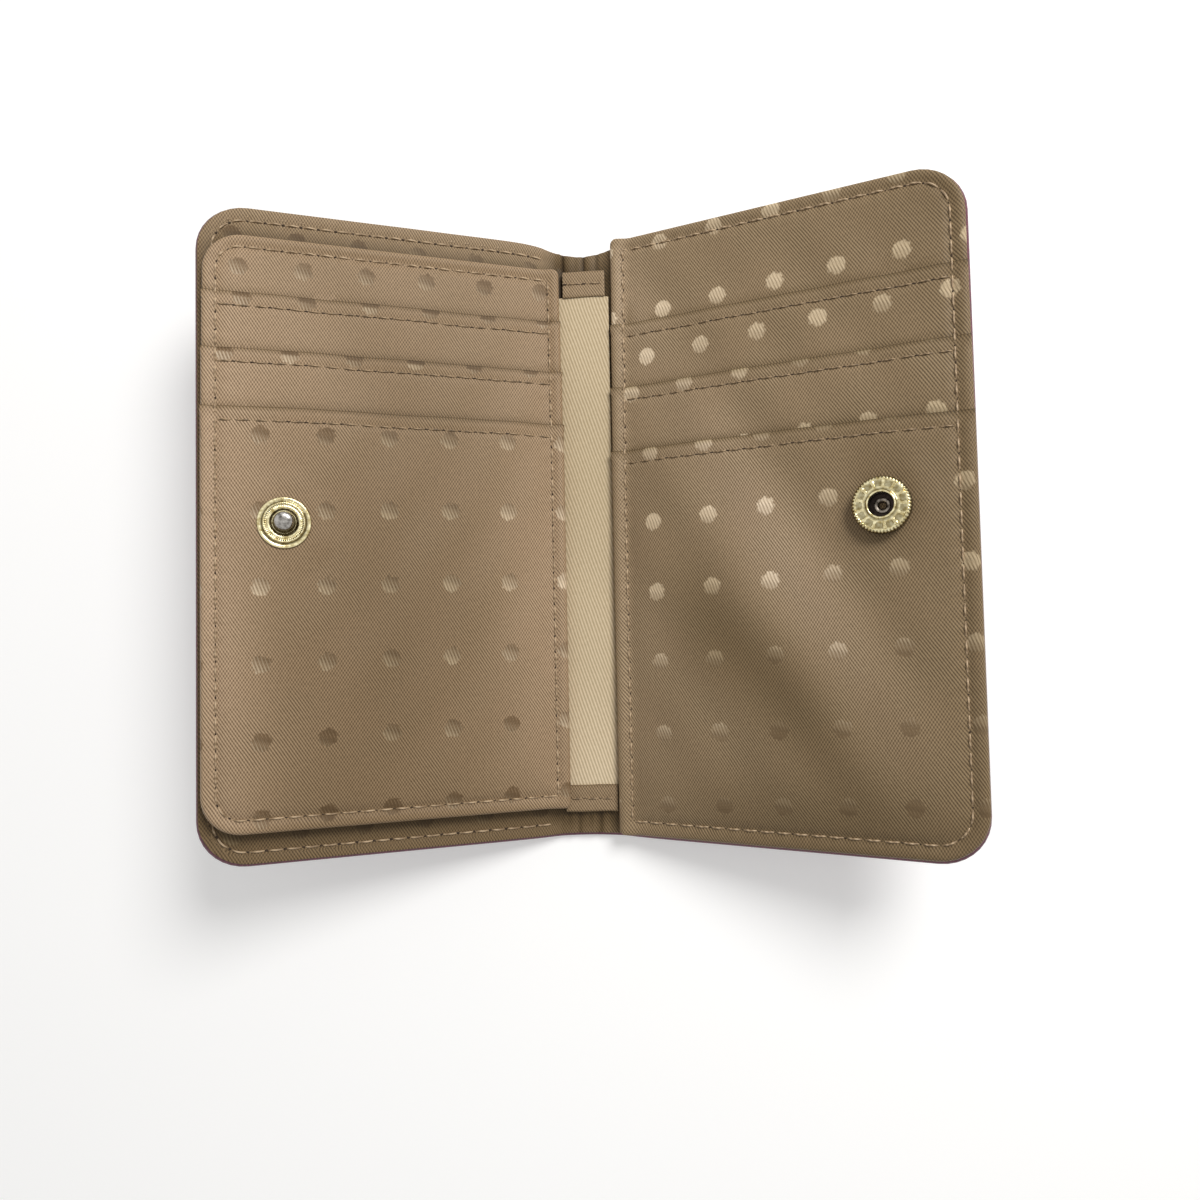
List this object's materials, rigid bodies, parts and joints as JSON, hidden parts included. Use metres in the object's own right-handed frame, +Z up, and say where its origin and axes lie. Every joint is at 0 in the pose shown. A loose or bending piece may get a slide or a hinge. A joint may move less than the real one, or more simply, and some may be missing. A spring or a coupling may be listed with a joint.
{
  "type": "bifold wallet",
  "caption": "Small bifold wallet with a leather cover on two boards, a stitched card page, a stitched card panel, a twill strip over the spine and a ring snap; both leaves fold on the spine.",
  "frame": {"origin": "middle of the flat underside of the spine, which the open wallet stands on", "axes": "+X across the spine towards the right leaf, +Y along the spine towards the pockets' open ends, +Z up"},
  "size_m": [0.1282, 0.112, 0.0284],
  "materials": {
    "leather": "satin",
    "board": "matte",
    "lining": "satin",
    "twill": "matte",
    "thread": "matte",
    "gold": "polished",
    "nickel": "polished"
  },
  "bodies": {
    "spine": {"spine_leather": "leather", "spine_lining": "lining", "spine_strip": "twill", "strip_binding_top": "lining", "strip_binding_bottom": "lining", "left_leather_fold": "leather", "right_leather_fold": "leather", "left_lining_fold": "lining", "right_lining_fold": "lining", "page_hem": "lining", "page_hem_seam": "thread", "panel_hem": "lining", "panel_hem_seam": "thread"},
    "left_leaf": {"left_leather": "leather", "left_board": "board", "left_lining": "lining", "left_cover_seam": "thread", "page_seam_allowance": "lining", "page_lining": "lining", "page_base": "lining", "page_pocket_rear": "lining", "page_pocket_middle": "lining", "page_pocket_front": "lining", "page_seam": "thread", "page_seam_rear": "thread", "page_seam_middle": "thread", "page_seam_front": "thread", "stud_base": "gold", "stud_post": "nickel", "stud_back_ring": "gold"},
    "right_leaf": {"right_leather": "leather", "right_board": "board", "right_lining": "lining", "panel_base": "lining", "panel_pocket_rear": "lining", "panel_pocket_middle": "lining", "panel_pocket_front": "lining", "panel_seam": "thread", "panel_seam_rear": "thread", "panel_seam_middle": "thread", "panel_seam_front": "thread", "socket_case": "gold", "socket_spring": "nickel", "socket_eyelet": "nickel", "socket_back_ring": "gold"}
  },
  "joints": [
    {"name": "left_fold", "type": "hinge", "parent": "spine", "child": "left_leaf", "pos_m": [-0.007, 0, 0.0005], "axis": [0, 1, 0], "range_deg": [-22, 68], "deforming": ["left_leather_fold", "left_lining_fold", "page_hem", "page_hem_seam"]},
    {"name": "right_fold", "type": "hinge", "parent": "spine", "child": "right_leaf", "pos_m": [0.007, 0, 0.0005], "axis": [0, -1, 0], "range_deg": [-22, 68], "deforming": ["right_leather_fold", "right_lining_fold", "panel_hem", "panel_hem_seam"]}
  ]
}
